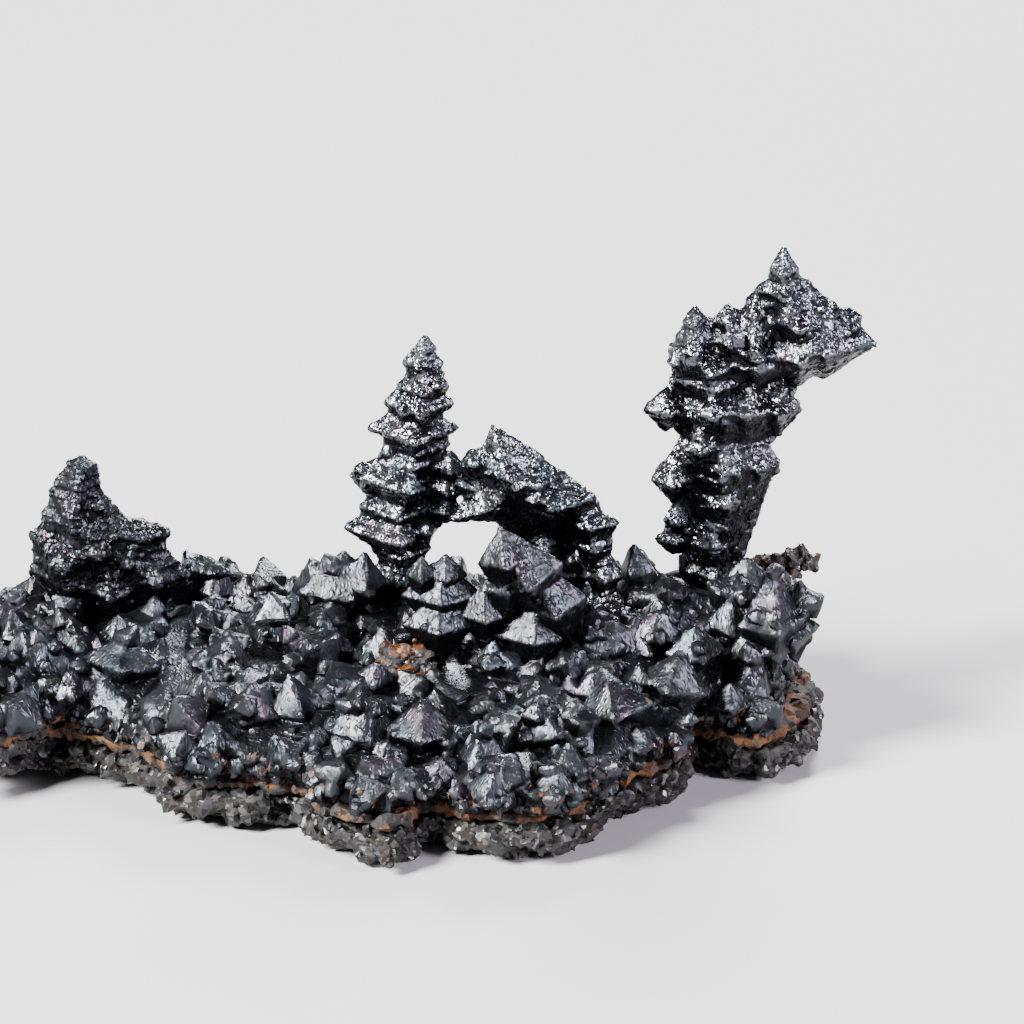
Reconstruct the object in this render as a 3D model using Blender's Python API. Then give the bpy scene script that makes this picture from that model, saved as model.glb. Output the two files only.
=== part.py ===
"""Acanthite specimen: a thin plate of grey matrix, a rusty limonite seam on it, and a crust of dark
silver-sulphide crystals from which stepped spires rise.

Frame: +X to the right, +Y to the back, +Z up. The origin lies on the ground flat of the underside.
Lengths in this file are millimetres, and the finished meshes are scaled to Blender's metres.
"""

import math
import random
from dataclasses import dataclass, replace

import bmesh
import bpy
from mathutils import Euler, Matrix, Vector, geometry, noise

MM = 0.001  # one millimetre in Blender's metres
GAP = 0.3  # left between two pieces that touch

# The layers, from the surface that the specimen stands on
PLATE_TOP = 2.2
SEAM_THICKNESS = 0.6
CRUST_FOOT = PLATE_TOP + SEAM_THICKNESS + 2 * GAP
RIM_WALL = 1.3  # height of the crust's own edge, below its crystals
GROUND_MARGIN = 2.6  # from the plate's rim in to the part of its underside that is ground flat
SLOPE_FOOT = 0.3  # the underside's height where the plate begins to curl up

# The plate's outline in plan, from the left end along the front to the right end and back
OUTLINE = [
    (-26.6, -3.0), (-25.1, -7.2), (-22.8, -6.1), (-20.9, -3.0), (-19.1, -2.2), (-18.1, -4.2),
    (-15.1, -4.7), (-13.1, -7.2), (-12.8, -9.4), (-8.3, -10.4), (-5.3, -9.8), (-4.7, -12.0),
    (-1.9, -15.2), (0.8, -17.1), (2.2, -15.5), (2.9, -12.9), (3.7, -12.7), (5.4, -14.8),
    (9.6, -15.7), (12.5, -14.1), (13.4, -11.3), (16.2, -7.8), (18.0, -7.6), (18.8, -3.4),
    (19.6, -0.6), (20.7, -1.6), (21.7, -3.0), (23.4, -4.0), (25.9, -1.3), (27.0, 4.8),
    (26.2, 9.0), (24.3, 12.6), (20.5, 15.0), (15.5, 14.2), (11.0, 16.2), (5.5, 15.2),
    (0.5, 16.6), (-5.0, 15.0), (-10.0, 15.8), (-15.0, 13.4), (-20.0, 13.9), (-24.5, 10.8),
    (-27.6, 6.5), (-28.0, 1.5),
]

# The rectangle in plan that holds the outline
PLAN_LEFT = -29.0
PLAN_FRONT = -18.0
PLAN_WIDTH = 58.0
PLAN_DEPTH = 36.0

# The left end of the whole plate curls up from here, and the matrix swells there
CURL_FROM = -12.0
CURL_TO = -28.0
CURL_LIFT = 1.7
CURL_SWELL = 1.0

# Where each spire and each standing block grows from, at the level of the crust round it
HAMMER_ROOT = Vector((20.1, 6.0, 9.9))
FIR_ROOT = Vector((0.8, 5.5, 8.5))
ARCH_ROOT = Vector((13.2, 3.0, 8.6))
PYRAMID_ROOT = Vector((-17.2, 5.0, 8.0))
BLOCK_ROOT = Vector((8.6, -2.0, 8.0))
SPUR_ROOT = Vector((24.4, 9.0, 9.0))
PATCH_ROOT = Vector((1.4, -3.2, 7.2))


# ---- Crystals -------------------------------------------------------------------------------------


@dataclass(frozen=True)
class Crystal:
    """An octahedron with its own reach from its centre to each of its six corners."""

    at: tuple
    left: float
    right: float
    front: float
    back: float
    up: float
    down: float
    lean: float = 0.0  # degrees about Y: the top goes to the right
    nod: float = 0.0  # degrees about X: the top goes to the back where negative
    turn: float = 0.0  # degrees about Z

    def grown(self, by):
        """The same crystal with every face moved out by at least that much."""
        nearest = (min(self.left, self.right), min(self.front, self.back), min(self.up, self.down))
        to_face = 1 / math.sqrt(sum(1 / reach**2 for reach in nearest))
        k = 1 + by / to_face
        return replace(
            self, left=k * self.left, right=k * self.right, front=k * self.front,
            back=k * self.back, up=k * self.up, down=k * self.down,
        )

    def moved(self, offset):
        return replace(self, at=tuple(Vector(self.at) + Vector(offset)))

    def add_to(self, mesh):
        turned = Euler([math.radians(a) for a in (self.nod, self.lean, self.turn)]).to_matrix()
        place = Matrix.Translation(self.at) @ turned.to_4x4()
        corners = (
            (-self.left, 0, 0), (self.right, 0, 0), (0, -self.front, 0),
            (0, self.back, 0), (0, 0, self.up), (0, 0, -self.down),
        )
        west, east, south, north, top, foot = (mesh.verts.new(place @ Vector(c)) for c in corners)
        for a, b in ((south, east), (east, north), (north, west), (west, south)):
            mesh.faces.new((a, b, top))
            mesh.faces.new((b, a, foot))


def evenly(at, wide, deep, tall, **angles):
    """A crystal that reaches as far on either side of its centre."""
    return Crystal(at, wide, wide, deep, deep, tall, tall, **angles)


# ---- Solids ---------------------------------------------------------------------------------------


def helper_object(mesh):
    """A hidden object that holds this bmesh, for a Boolean to read."""
    data = bpy.data.meshes.new("helper")
    mesh.to_mesh(data)
    mesh.free()
    holder = bpy.data.objects.new("helper", data)
    holder.hide_render = True
    holder.display_type = "WIRE"
    bpy.context.scene.collection.objects.link(holder)
    return holder


def boolean(target, operation, other):
    """Joins the other solid to the target, or cuts it away. Each may be many overlapping shells."""
    step = target.modifiers.new("step", "BOOLEAN")
    step.operation = operation
    step.solver = "EXACT"
    step.use_self = True
    step.object = other
    graph = bpy.context.evaluated_depsgraph_get()
    made = bpy.data.meshes.new_from_object(target.evaluated_get(graph))
    target.modifiers.clear()
    target.data = made
    bpy.data.objects.remove(other)
    return target


def fused(crystals):
    """One solid of all these overlapping crystals."""
    first, rest = bmesh.new(), bmesh.new()
    crystals[0].add_to(first)
    for crystal in crystals[1:]:
        crystal.add_to(rest)
    return boolean(helper_object(first), "UNION", helper_object(rest))


def keep_largest(mesh):
    """Drops the loose crumbs that a cut leaves."""
    left, islands = set(mesh.verts), []
    while left:
        island, edge = set(), [left.pop()]
        while edge:
            vert = edge.pop()
            island.add(vert)
            near = {e.other_vert(vert) for e in vert.link_edges} & left
            left -= near
            edge.extend(near)
        islands.append(island)
    islands.sort(key=len)
    crumbs = [vert for island in islands[:-1] for vert in island]
    bmesh.ops.delete(mesh, geom=crumbs, context="VERTS")


def curl(x, z):
    """How far the plate lifts at this place along its length, and at this height in it."""
    share = min(max((x - CURL_FROM) / (CURL_TO - CURL_FROM), 0), 1)
    return share**2 * (CURL_LIFT + CURL_SWELL * min(z / PLATE_TOP, 1))


def finish(holder, name, material, root=Vector((0, 0, 0))):
    """Names the solid, curls it with the plate, puts its origin at its root and turns it to metres."""
    mesh = bmesh.new()
    mesh.from_mesh(holder.data)
    for vert in mesh.verts:
        vert.co.z += curl(vert.co.x, vert.co.z)
        vert.co -= root
    bmesh.ops.remove_doubles(mesh, verts=mesh.verts, dist=0.001)
    bmesh.ops.triangulate(mesh, faces=mesh.faces)
    keep_largest(mesh)
    bmesh.ops.scale(mesh, vec=(MM, MM, MM), verts=mesh.verts)
    data = bpy.data.meshes.new(name)
    mesh.to_mesh(data)
    mesh.free()
    data.materials.append(material)
    holder.data = data
    holder.name = name
    holder.location = root * MM
    holder.parent = specimen
    holder.hide_render = False
    holder.display_type = "TEXTURED"
    return holder


def finish_material(name, colour, roughness, metallic):
    material = bpy.data.materials.new(name)
    material.use_nodes = True
    shader = material.node_tree.nodes["Principled BSDF"]
    shader.inputs["Base Color"].default_value = (*colour, 1)
    shader.inputs["Roughness"].default_value = roughness
    shader.inputs["Metallic"].default_value = metallic
    return material


# ---- Layers: the plate, the seam and the crust's slab ---------------------------------------------


def outline_points(spacing, jag, seed):
    """The plate's outline, broken into short runs, each point set in or out a little."""
    rng = random.Random(seed)
    points = []
    for a, b in zip(OUTLINE, OUTLINE[1:] + OUTLINE[:1]):
        a, b = Vector(a), Vector(b)
        run = b - a
        steps = max(1, round(run.length / spacing))
        out = Vector((run.y, -run.x)).normalized()
        points += [a + run * (i / steps) + out * rng.uniform(-jag, jag) for i in range(steps)]
    return points


def eased(points, rounds):
    """The outline with its corners smoothed away, point for point."""
    for _ in range(rounds):
        points = [
            (points[i - 1] + 2 * points[i] + points[(i + 1) % len(points)]) / 4
            for i in range(len(points))
        ]
    return points


def inset(points, by):
    """The outline drawn in towards the middle: by is a length, or a function of the point."""
    return [p * (1 - (by(p) if callable(by) else by) / p.length) for p in points]


def ring(mesh, points, height, wobble=0.0, seed=0):
    rng = random.Random(seed)
    return [mesh.verts.new((p.x, p.y, height + rng.uniform(-wobble, wobble))) for p in points]


def wall(mesh, lower, upper):
    for i in range(len(lower)):
        j = (i + 1) % len(lower)
        mesh.faces.new((lower[i], lower[j], upper[j], upper[i]))


def cap(mesh, rim, inner, height):
    """Closes a ring with a sheet of triangles through these inner points, at these heights."""
    loop = [(i, (i + 1) % len(rim)) for i in range(len(rim))]
    plan = [v.co.xy for v in rim] + inner
    points, _, faces, *_ = geometry.delaunay_2d_cdt(plan, loop, [], 1, 1e-5)
    verts = rim + [mesh.verts.new((p.x, p.y, height(p.x, p.y))) for p in points[len(rim):]]
    for face in faces:
        mesh.faces.new([verts[i] for i in face])


def closed(mesh):
    bmesh.ops.recalc_face_normals(mesh, faces=mesh.faces)
    return helper_object(mesh)


# Places in the end that curls, where every layer's sheets have a point, so that they curl alike
CURLED = [Vector((x, y)) for x in (-25, -22, -19, -16, -13) for y in (0.5, 4.5, 9)]


def layer(rings):
    """A closed solid through these rings of the outline, bottom first, with a level top and foot."""
    mesh = bmesh.new()
    made = [ring(mesh, *given) for given in rings]
    for lower, upper in zip(made, made[1:]):
        wall(mesh, lower, upper)
    for end, height in ((made[0], rings[0][1]), (made[-1], rings[-1][1])):
        cap(mesh, end, CURLED, lambda x, y, height=height: height)
    return closed(mesh)


def matrix_plate():
    """The broken plate. Its underside is ground flat, and slopes up to a ragged rim on every side."""
    edge = outline_points(spacing=1.7, jag=0.25, seed=3)
    mesh = bmesh.new()
    made = [
        ring(mesh, inset(eased(edge, 2), by=0.8), height=0.55, wobble=0.25, seed=5),
        ring(mesh, edge, height=1.3, wobble=0.3, seed=6),
        ring(mesh, inset(eased(edge, 1), by=0.25), PLATE_TOP),
    ]
    for lower, upper in zip(made, made[1:]):
        wall(mesh, lower, upper)
    ground = [p for p in inset(eased(edge, 25), GROUND_MARGIN) if p.x > CURL_FROM]
    ground += [Vector((CURL_FROM, y)) for y in (-4, 0, 4, 8, 12)]
    slope = [p for p in CURLED if p.x < CURL_FROM - 2]
    cap(mesh, made[0], ground + slope, lambda x, y: 0 if x >= CURL_FROM else SLOPE_FOOT)
    cap(mesh, made[-1], CURLED, lambda x, y: PLATE_TOP)
    return closed(mesh)


SEAM_INSET = 0.6  # the layers' edges stand back this far from the plate's rim
CRUST_INSET = 0.5
BARE_INSET = 2.1  # and the crust this much farther where it is bare

# Where the crust stands back from the rim and the seam shows wide: the place, how much, how far
BARE = [((27.0, 0.0), 1.0, 3.4), ((26.8, 4.5), 0.7, 3.0), ((0.0, -16.0), 0.6, 3.2), ((-23.0, -6.0), 0.5, 3.0)]


def bare(p):
    """How bare the rim is at this place, from 0 to 1."""
    shares = [most * math.exp(-(((p - Vector(at)).length / reach) ** 2)) for at, most, reach in BARE]
    return min(sum(shares), 1)


def limonite_seam():
    """The rusty layer between the plate and the crust, which shows along the rim."""
    edge = eased(outline_points(spacing=2.6, jag=0.35, seed=8), 1)
    middle = inset(edge, lambda p: SEAM_INSET - 0.4 * bare(p))
    foot = PLATE_TOP + GAP
    wobble, seed = 0.1, 9
    return layer([
        (inset(middle, by=0.2), foot),
        (middle, foot + SEAM_THICKNESS / 2, wobble, seed),
        (inset(middle, by=0.4), foot + SEAM_THICKNESS),
    ])


# ---- The crust ------------------------------------------------------------------------------------

CRUST_LOW = 4.2  # height of the crust at the rim
CRUST_RISE = 4.4  # more than that along the ridge that carries the spires
RIDGE_Y = 4.0
FRONT_Y = -17.0
BACK_Y = 17.0
END_X = 29.5  # where the ridge has died away at either end
LEFT_FALL = 4  # the ridge runs out slowly to the left
RIGHT_FALL = 10  # and ends steeply at the right
HAMMER_MOUND = 1.5  # the crust swells by this much under the hammer
MOUND_REACH = 6.3
CELL = 3.4  # spacing of the slab's facets


def crust_top(x, y):
    across = min((y - FRONT_Y) / (RIDGE_Y - FRONT_Y), (BACK_Y - y) / (BACK_Y - RIDGE_Y), 1)
    along = 1 - (abs(x) / END_X) ** (RIGHT_FALL if x > 0 else LEFT_FALL)
    from_hammer = (Vector((x, y)) - HAMMER_ROOT.xy).length / MOUND_REACH
    mound = HAMMER_MOUND * math.exp(-(from_hammer**2))
    swells = 0.8 * noise.noise(Vector((x / 4, y / 4, 0))) + 0.5 * noise.noise(Vector((x, y, 7)) / 1.7)
    return CRUST_LOW + CRUST_RISE * max(across, 0) * along + mound + swells


def inside(point, outline):
    """Whether the point lies in the outline."""
    crossings = 0
    for a, b in zip(outline, outline[1:] + outline[:1]):
        if (a.y > point.y) != (b.y > point.y):
            crossings += point.x < a.x + (point.y - a.y) * (b.x - a.x) / (b.y - a.y)
    return crossings % 2 == 1


def scattered(outline, spacing, margin, seed):
    """Points in the outline on a shaken grid, all at least the margin from its edge."""
    rng = random.Random(seed)
    points = []
    for row in range(round(PLAN_DEPTH / spacing)):
        for column in range(round(PLAN_WIDTH / spacing)):
            x = PLAN_LEFT + (column + 0.5 * (row % 2) + rng.uniform(-0.3, 0.3)) * spacing
            y = PLAN_FRONT + (row + rng.uniform(-0.3, 0.3)) * spacing
            p = Vector((x, y))
            if inside(p, outline) and min((p - q).length for q in outline) > margin:
                points.append(p)
    return points


def crust_slab(edge):
    """The crust's body: a level underside, a low wall, and a top of many tilted facets."""
    mesh = bmesh.new()
    foot = ring(mesh, edge, CRUST_FOOT)
    top = ring(mesh, edge, CRUST_FOOT + RIM_WALL)
    wall(mesh, foot, top)
    cap(mesh, foot, CURLED, lambda x, y: CRUST_FOOT)
    cap(mesh, top, scattered(edge, CELL, 0.9, seed=21), crust_top)
    return closed(mesh)


# The crust's largest crystals: the place of each in plan, the height of its centre, and its reach
# to the side, in depth and in height
LARGE = [
    # the lozenge and the wedge on the back ridge, each on a crystal that carries it
    (-10.6, 6.0, 10.3, 1.6, 1.0, 0.75), (-10.4, 6.2, 8.8, 1.6, 1.5, 1.9), (-7.2, 6.0, 8.9, 1.5, 1.2, 1.0),
    # the rounded mound against the fir
    (-2.4, 3.0, 10.2, 2.9, 2.2, 2.5), (-3.7, 3.3, 10.2, 2.0, 1.9, 2.1), (-1.3, 2.6, 10.7, 1.8, 1.6, 2.1),
    # the pair at the hammer's foot
    (15.5, 4.0, 10.9, 1.2, 1.1, 1.9), (17.4, 4.0, 11.0, 0.9, 1.0, 1.5), (15.4, 3.9, 9.2, 1.9, 1.6, 1.8),
    # the right end: a tall pyramid, and the heap beside it
    (23.6, 0.2, 9.0, 2.1, 1.9, 3.7), (22.9, 0.6, 7.6, 2.3, 2.0, 2.3), (25.1, 1.6, 9.6, 1.4, 1.4, 1.9),
    (24.9, 2.4, 7.6, 1.4, 1.6, 2.0), (24.3, 4.6, 8.6, 1.8, 1.7, 2.2), (21.2, 1.4, 8.6, 1.7, 1.5, 1.8),
    (23.9, 8.6, 7.4, 1.9, 1.9, 1.7),
    # the long ledge in front of the arch
    (13.8, -1.2, 8.6, 3.1, 1.6, 1.4), (16.6, -0.6, 8.9, 2.0, 1.5, 1.5), (18.9, -1.4, 8.0, 1.9, 1.7, 1.7),
    # the broad blocks along the front
    (-20.5, -0.6, 6.6, 2.3, 1.9, 1.8), (-15.4, -1.6, 7.0, 2.7, 2.1, 1.9), (-23.4, -3.6, 5.9, 2.0, 1.8, 1.6),
    (-10.8, -5.8, 6.6, 1.9, 1.6, 2.1), (-7.6, -7.0, 6.3, 1.7, 1.5, 2.0), (-5.0, -6.6, 6.4, 1.7, 1.7, 2.3),
    (-1.0, -9.6, 6.3, 2.4, 1.9, 2.5), (2.6, -9.8, 6.2, 2.5, 2.0, 2.2), (6.2, -11.4, 5.6, 1.9, 1.7, 1.7),
    (10.0, -9.2, 6.2, 2.3, 2.0, 2.3), (14.0, -6.8, 6.5, 2.5, 2.0, 2.0), (17.6, -4.0, 6.9, 2.2, 2.0, 2.2),
    (-3.4, -0.6, 8.2, 2.1, 1.8, 1.4), (3.9, 0.9, 8.4, 1.6, 1.3, 2.2), (-14.0, 3.4, 7.6, 1.8, 1.6, 1.5),
]
SCATTER = 4.05  # spacing of the smaller crystals
RIM_SPACING = 2.3  # from one crystal that hangs over the rim to the next
SHAVING = 0.0001  # keeps the level cut just below the crust's own underside


def tilted(rng, most):
    return {"lean": rng.uniform(-most, most), "nod": rng.uniform(-most, most), "turn": rng.uniform(0, 90)}


def uneven(rng, size):
    return [size * rng.uniform(0.75, 1.25) for _ in range(6)]


def crust_crystals(edge):
    """The large crystals, the smaller ones between them, and a row that hangs over the rim."""
    rng = random.Random(77)
    crystals = []
    for x, y, height, wide, deep, tall in LARGE:
        angles = {"lean": rng.uniform(-14, 14), "nod": rng.uniform(-12, 12), "turn": rng.uniform(-30, 30)}
        crystals.append(evenly((x, y, height), wide, deep, tall, **angles))
    for p in scattered(edge, SCATTER, 1.5, seed=5):
        at = (p.x, p.y, crust_top(p.x, p.y) + rng.uniform(-0.5, 0.3))
        crystals.append(Crystal(at, *uneven(rng, rng.uniform(1.4, 2.3)), **tilted(rng, 45)))
    walked = 0
    for p, q in zip(edge, edge[1:] + edge[:1]):
        walked += (q - p).length
        if walked > RIM_SPACING:
            walked = 0
            at = (*(p * 0.985), CRUST_FOOT + rng.uniform(0.7, 1.5))
            crystals.append(Crystal(at, *uneven(rng, rng.uniform(1.0, 1.7)), **tilted(rng, 35)))
    return crystals


def crystal_crust(growths):
    """The slab and its crystals in one solid, with a socket for everything that stands in it."""
    edge = eased(outline_points(spacing=2.1, jag=0.3, seed=12), 1)
    edge = inset(edge, lambda p: CRUST_INSET + BARE_INSET * bare(p))
    crystals = bmesh.new()
    for crystal in crust_crystals(edge):
        crystal.add_to(crystals)
    crust = boolean(crust_slab(edge), "UNION", helper_object(crystals))
    for growth in growths:
        boolean(crust, "DIFFERENCE", fused([crystal.grown(GAP) for crystal in growth]))
    # a level cut across the foot keeps the crystals that hang over the rim clear of the seam
    size = Vector((2 * PLAN_WIDTH, 2 * PLAN_DEPTH, 2 * CRUST_FOOT))
    below = bmesh.new()
    bmesh.ops.create_cube(below, size=1, matrix=Matrix.Diagonal((*size, 1)))
    bmesh.ops.translate(below, vec=(0, 0, -SHAVING), verts=below.verts)
    return boolean(crust, "DIFFERENCE", helper_object(below))


# ---- Spires ----------------------------------------------------------------------------------------
#
# A spire is a stack of crystals in parallel growth. Each row below is one crystal: the height of its
# girdle, the places of its left and right corners, its reach up, down and in depth, and, where it
# stands off the spire's own plane, its place in depth and its angles.


def grown_from(root, rows):
    crystals = []
    for height, left, right, up, down, deep, *rest in rows:
        y = rest[0] if rest else 0
        angles = rest[1] if len(rest) > 1 else {}
        half = (right - left) / 2
        centre = ((left + right) / 2, y, height)
        crystals.append(Crystal(centre, half, half, deep, deep * 0.9, up, down, **angles).moved(root))
    return crystals


# The fir has one long arm per tier to the left, and shorter ones to the other sides
FIR = [
    (6.0, -0.4, 2.8, 8.5, 7.0, 1.8, 0, {"lean": 5}),  # the stem inside the tiers
    (16.4, 1.2, 2.6, 0.9, 1.0, 0.7), (15.4, 0.4, 3.0, 1.6, 1.5, 1.1), (14.6, 0.6, 3.1, 1.6, 1.3, 1.2),
    (13.9, 0.1, 3.4, 1.6, 1.3, 1.6), (12.8, -0.65, 3.7, 1.8, 1.5, 2.0), (11.2, -1.7, 3.95, 1.9, 1.7, 2.3),
    (10.2, -0.4, 3.4, 1.8, 1.8, 2.0), (9.3, -0.9, 3.3, 1.8, 1.8, 2.1), (8.1, -2.8, 3.2, 1.9, 1.9, 2.6),
    (6.9, -1.2, 2.7, 1.8, 1.8, 2.0), (6.0, -2.1, 2.7, 1.6, 1.7, 2.2), (4.7, -3.2, 2.6, 1.7, 1.8, 2.6),
    (3.3, -1.5, 2.2, 1.8, 2.0, 2.0), (1.6, -1.8, 2.4, 2.0, 2.2, 2.2),
    # the blunt ends of the arms to the left
    (12.9, -0.6, 0.9, 0.8, 0.8, 0.8), (11.3, -1.6, 1.0, 1.0, 0.9, 1.0), (8.2, -2.8, 0.8, 1.1, 1.1, 1.2),
    (6.1, -2.05, 0.6, 0.9, 0.85, 1.0), (4.75, -3.2, 0.4, 1.15, 1.1, 1.2), (7.7, -2.5, -1.0, 0.8, 0.8, 0.8),
    # arms to the front and to the back
    (12.6, 0.8, 2.3, 0.8, 0.7, 0.8, -1.2), (11.0, 0.3, 2.1, 0.8, 0.8, 1.0, -1.6),
    (8.0, 0.0, 1.9, 0.9, 0.9, 1.1, -1.9), (4.7, -0.6, 1.3, 0.9, 0.9, 1.2, -1.9),
    (11.1, 0.4, 2.2, 0.8, 0.8, 1.0, 1.5), (8.0, 0.2, 2.0, 0.9, 0.9, 1.1, 1.8),
    # the knot on the right side
    (8.9, 2.3, 4.55, 1.3, 1.2, 0.8, -0.9), (7.6, 1.9, 4.45, 1.1, 1.2, 0.8, -0.9),
    (6.3, 1.9, 4.3, 0.8, 1.0, 0.8, -0.9),
    (5.0, 1.4, 2.6, 0.7, 0.7, 0.9, -1.0), (14.3, 2.2, 3.3, 0.6, 0.6, 0.7, -0.6),
]

# The hammer is a square column seen corner on, with a head that runs far out to the right
HAMMER = [
    # the column: tall crystals, one inside the other, down to its foot
    (7.6, -2.8, 4.0, 5.6, 11.0, 2.5), (2.4, -2.1, 2.3, 6.0, 4.4, 1.9), (0.3, -1.5, 2.0, 2.2, 3.2, 1.8),
    (10.8, -3.4, 4.4, 2.4, 4.4, 2.6), (12.8, -2.8, 2.7, 2.2, 2.0, 2.2),
    # the shelf under the head, on the right, with a blunt end
    (11.3, -1.8, 5.4, 1.2, 3.6, 2.4), (10.9, 2.5, 5.4, 1.4, 1.9, 1.7),
    # the blunt blocks at the ends of its tiers
    (11.1, -4.3, -1.5, 1.3, 1.6, 1.5, -0.4, {"turn": 12}), (6.4, -3.8, -1.0, 1.5, 1.6, 1.6, -0.2),
    (7.5, 1.4, 4.1, 1.0, 2.2, 1.6), (2.4, -3.5, -1.2, 1.0, 1.1, 1.0), (3.7, -3.0, -1.2, 1.4, 1.4, 1.0),
    # the beam of the head
    (13.9, -2.9, 2.4, 1.9, 1.5, 2.5), (14.2, -0.8, 6.2, 2.2, 1.9, 2.5), (14.8, 1.8, 8.4, 2.6, 2.5, 2.8),
    (15.1, 3.4, 9.85, 3.1, 2.3, 2.5),
    # its three teeth
    (16.5, -1.95, -0.4, 1.15, 2.6, 1.1), (15.5, -2.35, 0.3, 1.5, 2.8, 1.7), (14.5, -2.8, 0.6, 1.7, 1.6, 2.2),
    (16.6, 0.0, 1.7, 1.1, 2.6, 1.2), (15.5, -0.4, 2.5, 1.6, 2.6, 1.9), (17.0, 1.5, 3.4, 1.15, 2.8, 1.2),
    (15.9, 1.1, 4.0, 1.7, 2.6, 2.0),
    # the tall pyramid, whose steps run into one another
    (19.8, 3.2, 5.05, 1.55, 3.4, 1.1), (18.6, 2.7, 5.7, 1.8, 3.6, 1.6), (17.8, 2.4, 6.9, 1.9, 3.4, 1.9),
    (16.7, 2.2, 7.9, 2.2, 3.2, 2.4),
    # the shoulders down its right side
    (18.4, 4.9, 6.3, 0.8, 1.0, 0.8), (17.2, 6.1, 7.6, 0.85, 1.0, 1.0), (16.2, 7.3, 8.9, 0.8, 1.0, 1.2),
    # small crystals on its front and on its back
    (16.4, -0.9, 0.4, 0.9, 0.8, 0.7, -1.2), (14.6, -2.0, -0.5, 0.9, 0.8, 0.7, -1.8),
    (14.9, 1.6, 3.4, 1.0, 0.8, 0.8, -1.8), (17.0, 3.6, 5.2, 1.1, 0.9, 0.8, -1.4),
    (15.3, 5.0, 6.8, 1.0, 0.8, 0.8, -1.7), (11.3, -1.2, 1.0, 1.0, 1.0, 0.9, -2.2),
    (8.9, -1.8, 0.4, 1.1, 1.2, 0.9, -1.7), (5.4, -0.4, 1.7, 1.2, 1.2, 0.8, -1.7),
    (15.6, 3.2, 5.6, 1.4, 1.0, 1.0, 1.7), (9.6, -0.9, 1.8, 1.4, 1.2, 0.9, 1.9),
    (5.6, -1.2, 1.4, 1.4, 1.2, 0.9, 1.7),
]

# The arch leans over to the left, and a hollow opens under it at the front
ARCH = [
    (8.8, -8.0, -2.2, 2.5, 2.2, 1.9), (8.0, -6.4, -1.4, 2.4, 2.2, 1.9), (7.0, -4.6, 0.1, 2.2, 1.6, 1.5, 0.3),
    (7.4, -9.4, -4.2, 1.2, 1.3, 1.4, -0.5, {"lean": -26}),  # the blade that points down to the left
    (6.9, -7.6, -4.0, 1.3, 1.4, 1.3, 0.3), (8.4, -8.8, -6.0, 1.6, 1.6, 1.2, 0.2),
    # the apex is one large crystal, with a tooth beside it
    (9.6, -7.9, -3.3, 2.9, 3.2, 1.7, 0, {"lean": -18}), (10.0, -8.35, -7.05, 0.9, 2.6, 0.9, -0.2),
    # down its right side
    (9.0, -5.8, -2.05, 1.6, 2.4, 1.7), (7.6, -3.2, -0.1, 1.1, 2.2, 1.4), (6.0, -2.4, 1.3, 0.9, 2.8, 1.3),
    (4.6, -1.6, 0.9, 2.4, 2.4, 1.2), (2.6, -1.0, 1.5, 1.8, 2.2, 1.3), (0.4, -1.2, 2.0, 2.0, 2.6, 1.5),
    # the wall behind the hollow
    (5.4, -5.2, 0.2, 2.6, 2.8, 0.9, 1.5), (1.8, -5.4, -0.2, 3.0, 2.8, 1.1, 1.8),
    (5.6, -6.4, -2.8, 1.5, 2.2, 1.0, 1.4),
    # small crystals on its front
    (8.9, -6.0, -4.2, 0.9, 0.8, 0.7, -1.4), (7.4, -3.8, -2.0, 0.8, 0.8, 0.7, -1.2),
    (3.8, -4.2, -2.6, 1.0, 0.9, 0.7, 0.9),
]

# The left pyramid is a blunt, straight-sided tower, with a stair and a wing down to the right
PYRAMID = [
    (9.1, -1.9, 0.0, 0.6, 3.0, 1.0), (8.1, -2.5, 0.25, 1.3, 3.6, 1.4), (7.0, -3.0, 0.5, 2.2, 4.0, 1.8),
    (5.5, -3.4, 0.9, 3.2, 4.4, 2.2), (4.0, -3.6, 1.4, 3.0, 3.0, 2.4), (6.9, -0.8, 0.8, 0.7, 1.6, 1.2),
    # the stair and the wing
    (5.2, -0.6, 2.4, 1.5, 2.4, 1.6), (5.1, 0.8, 4.3, 0.8, 2.2, 1.3), (3.4, 0.0, 3.6, 1.8, 2.2, 1.7),
    (2.4, 1.6, 5.5, 1.9, 2.4, 1.8),
    # its foot
    (4.0, -4.15, -2.4, 0.9, 1.6, 1.0), (2.8, -4.1, -2.0, 1.2, 1.6, 1.2), (1.8, -4.3, 0.6, 2.4, 3.0, 2.4),
    (1.4, -1.8, 3.2, 2.6, 3.0, 2.3),
    # small crystals on its front
    (6.2, -2.2, -0.6, 1.2, 1.0, 0.8, -1.3), (4.2, -1.0, 0.8, 1.2, 1.0, 0.8, -1.8),
    (3.0, -3.0, -1.2, 1.2, 1.0, 0.9, -1.9),
]

# The block is a pillar that leans to the left, with a lower crystal beside it
BLOCK = [
    (4.9, -2.0, 2.6, 3.9, 4.0, 1.8, 0, {"lean": -28}), (3.0, -0.1, 3.9, 4.0, 3.3, 1.8, 0, {"lean": -24}),
    (4.3, -2.6, 0.6, 3.4, 3.6, 1.4, 0.2, {"lean": -4}), (1.4, -1.8, 3.2, 2.0, 2.2, 1.7, -0.3),
    (6.2, -2.75, 0.6, 2.1, 3.4, 1.5, -0.1, {"lean": -8}),
    (3.6, -7.4, -2.4, 2.2, 3.0, 1.8, 0.7), (5.0, -7.0, -5.2, 1.2, 1.8, 1.2, 0.5),
    (4.9, -5.9, -3.4, 1.3, 1.8, 1.3, 0.8), (2.0, -7.3, -2.8, 2.0, 2.4, 1.6, -0.1),
    (2.6, -4.0, -0.6, 2.0, 2.4, 1.5, 0.1),
]


# ---- The small pieces that aren't acanthite --------------------------------------------------------


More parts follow.
